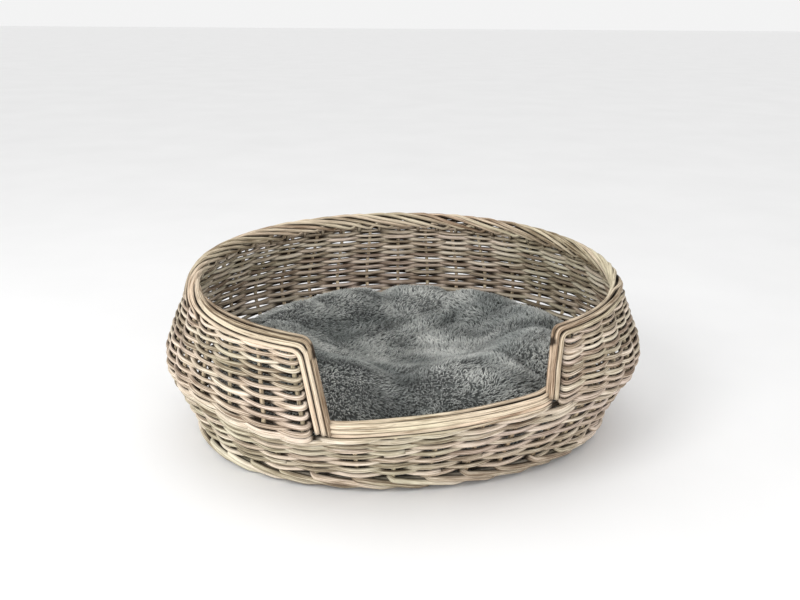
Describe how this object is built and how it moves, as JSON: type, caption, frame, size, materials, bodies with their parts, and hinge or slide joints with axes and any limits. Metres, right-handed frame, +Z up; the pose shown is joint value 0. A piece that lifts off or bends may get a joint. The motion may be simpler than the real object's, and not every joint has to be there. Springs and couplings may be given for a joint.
{
  "type": "wicker pet bed",
  "caption": "Oval willow basket bed for a small dog or cat, with a bulging woven wall, a low entrance in front and a loose plush cushion.",
  "frame": {"origin": "on the floor under the centre of the oval", "axes": "+X to the right along the long axis of the oval, +Y to the back, away from the entrance, +Z up"},
  "size_m": [0.6782, 0.5702, 0.2537],
  "materials": {
    "weave_willow": "grey-washed peeled willow rods, matt",
    "border_willow": "pale buff willow rods, satin",
    "stake_willow": "buff willow rods, matt",
    "plush": "deep-pile plush, grey",
    "filling": "loose polyester fibre"
  },
  "bodies": {
    "basket": {"foot_border": "weave_willow", "lower_weave": "weave_willow", "upper_weave": "weave_willow", "base_weave": "weave_willow", "top_border": "border_willow", "left_post": "border_willow", "right_post": "border_willow", "sill_border": "border_willow", "stake_01": "stake_willow", "stake_02": "stake_willow", "stake_03": "stake_willow", "stake_04": "stake_willow", "stake_05": "stake_willow", "stake_06": "stake_willow", "stake_07": "stake_willow", "stake_08": "stake_willow", "stake_09": "stake_willow", "stake_10": "stake_willow", "stake_11": "stake_willow", "stake_12": "stake_willow", "stake_13": "stake_willow", "stake_14": "stake_willow", "stake_15": "stake_willow", "stake_16": "stake_willow", "stake_17": "stake_willow", "stake_18": "stake_willow", "stake_19": "stake_willow", "stake_20": "stake_willow", "stake_21": "stake_willow", "stake_22": "stake_willow", "stake_23": "stake_willow", "stake_24": "stake_willow", "stake_25": "stake_willow", "stake_26": "stake_willow", "stake_27": "stake_willow", "stake_28": "stake_willow", "stake_29": "stake_willow", "stake_30": "stake_willow", "stake_31": "stake_willow", "stake_32": "stake_willow", "stake_33": "stake_willow", "stake_34": "stake_willow", "stake_35": "stake_willow", "stake_36": "stake_willow", "stake_37": "stake_willow", "base_long_stick_1": "stake_willow", "base_long_stick_2": "stake_willow", "base_long_stick_3": "stake_willow", "base_cross_stick_1": "stake_willow", "base_cross_stick_2": "stake_willow", "base_cross_stick_3": "stake_willow", "base_cross_stick_4": "stake_willow", "base_cross_stick_5": "stake_willow", "base_cross_stick_6": "stake_willow", "base_cross_stick_7": "stake_willow"},
    "cushion": {"cushion_cover": "plush", "cushion_filling": "filling"}
  },
  "joints": [
    {"name": "cushion_lift", "type": "slide", "parent": "basket", "child": "cushion", "axis": [0, 0, 1], "range_m": [0, 0.3]}
  ]
}
